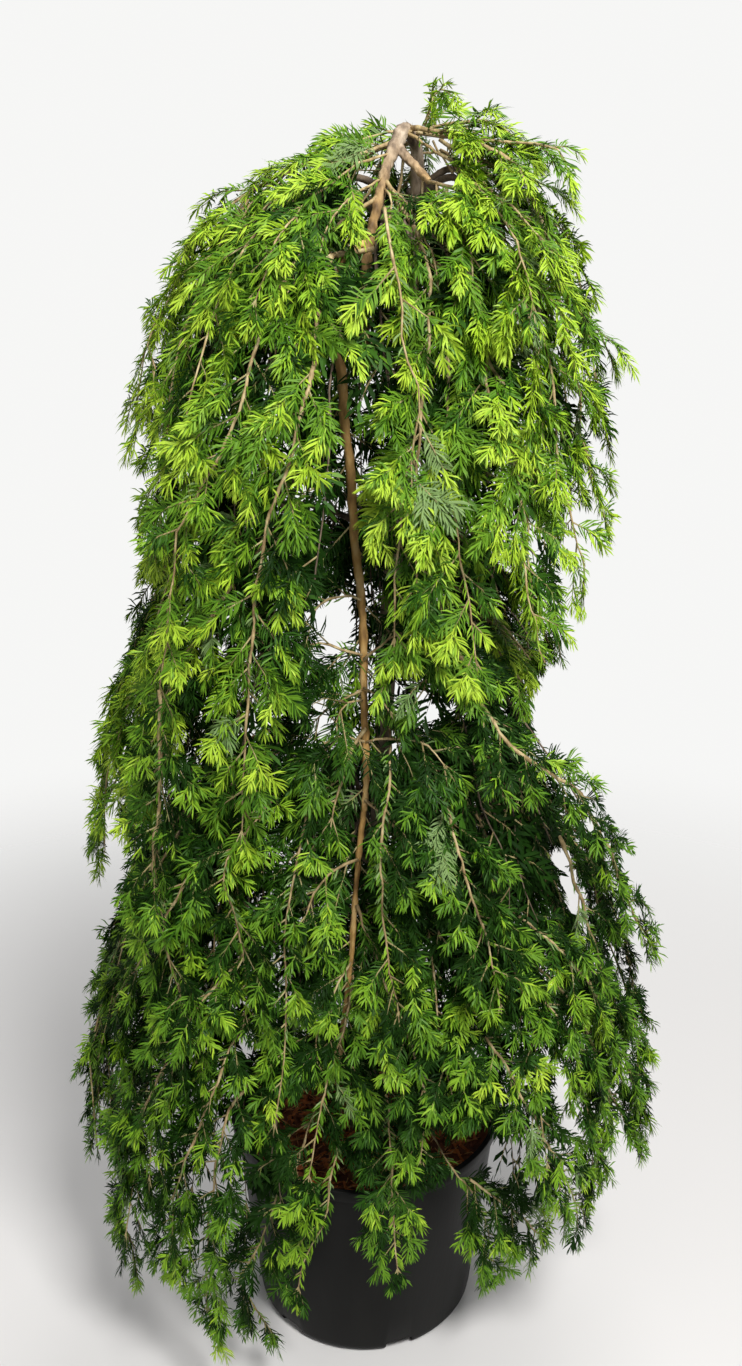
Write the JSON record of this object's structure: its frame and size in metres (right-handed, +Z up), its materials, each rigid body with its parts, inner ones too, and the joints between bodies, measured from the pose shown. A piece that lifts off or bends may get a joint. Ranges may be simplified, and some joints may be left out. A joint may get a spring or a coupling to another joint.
{
  "type": "weeping hemlock in a pot",
  "caption": "Young weeping conifer in a round nursery pot, its boughs hanging in a narrow full cone down to the rim.",
  "frame": {"origin": "middle of the pot's flat underside", "axes": "+Z up the plant, -Y towards the side that the plant is seen from, +X to the right of that view"},
  "size_m": [0.6208, 0.4957, 1.248],
  "materials": {
    "pot_plastic": "matte",
    "root_ball_fibre": "loose coarse fibre",
    "bark": "rough",
    "young_bark": "satin",
    "foliage": "matte"
  },
  "bodies": {
    "root": {"pot": "pot_plastic", "root_ball": "root_ball_fibre", "upper_left": "foliage", "upper_left_front": "foliage", "upper_front_left": "foliage", "upper_front": "foliage", "upper_front_right": "foliage", "upper_right_front": "foliage", "upper_right": "foliage", "upper_right_back": "foliage", "upper_back_right": "foliage", "upper_back_left": "foliage", "upper_left_back": "foliage", "middle_left": "foliage", "middle_left_front": "foliage", "middle_front_right": "foliage", "middle_right_front": "foliage", "middle_right": "foliage", "middle_right_back": "foliage", "middle_back_right": "foliage", "middle_back_left": "foliage", "middle_left_back": "foliage", "lower_left": "foliage", "lower_left_front": "foliage", "lower_front_left": "foliage", "lower_front": "foliage", "lower_front_right": "foliage", "lower_right_front": "foliage", "lower_right": "foliage", "lower_right_back": "foliage", "lower_back_right": "foliage", "lower_back_left": "foliage", "lower_left_back": "foliage", "low_tip_left": "foliage", "low_tip_right": "foliage", "bough_upper_left": "bark", "bough_upper_left_front": "bark", "bough_upper_right_front": "bark", "bough_upper_right": "bark", "bough_upper_back_right": "bark", "bough_upper_left_back": "bark", "bough_middle_left": "bark", "bough_middle_right_front": "bark", "bough_middle_right": "bark", "bough_middle_back_right": "bark", "bough_middle_left_back": "bark", "bough_lower_left": "bark", "bough_lower_front_left": "bark", "bough_lower_front_right": "bark", "bough_lower_right": "bark", "bough_lower_back_right": "bark", "bough_lower_back_left": "bark", "top_sprig": "foliage", "trunk": "bark", "arch_stem": "bark", "arch_stub": "bark", "leader_upper": "young_bark", "leader_lower": "young_bark"}
  },
  "joints": []
}
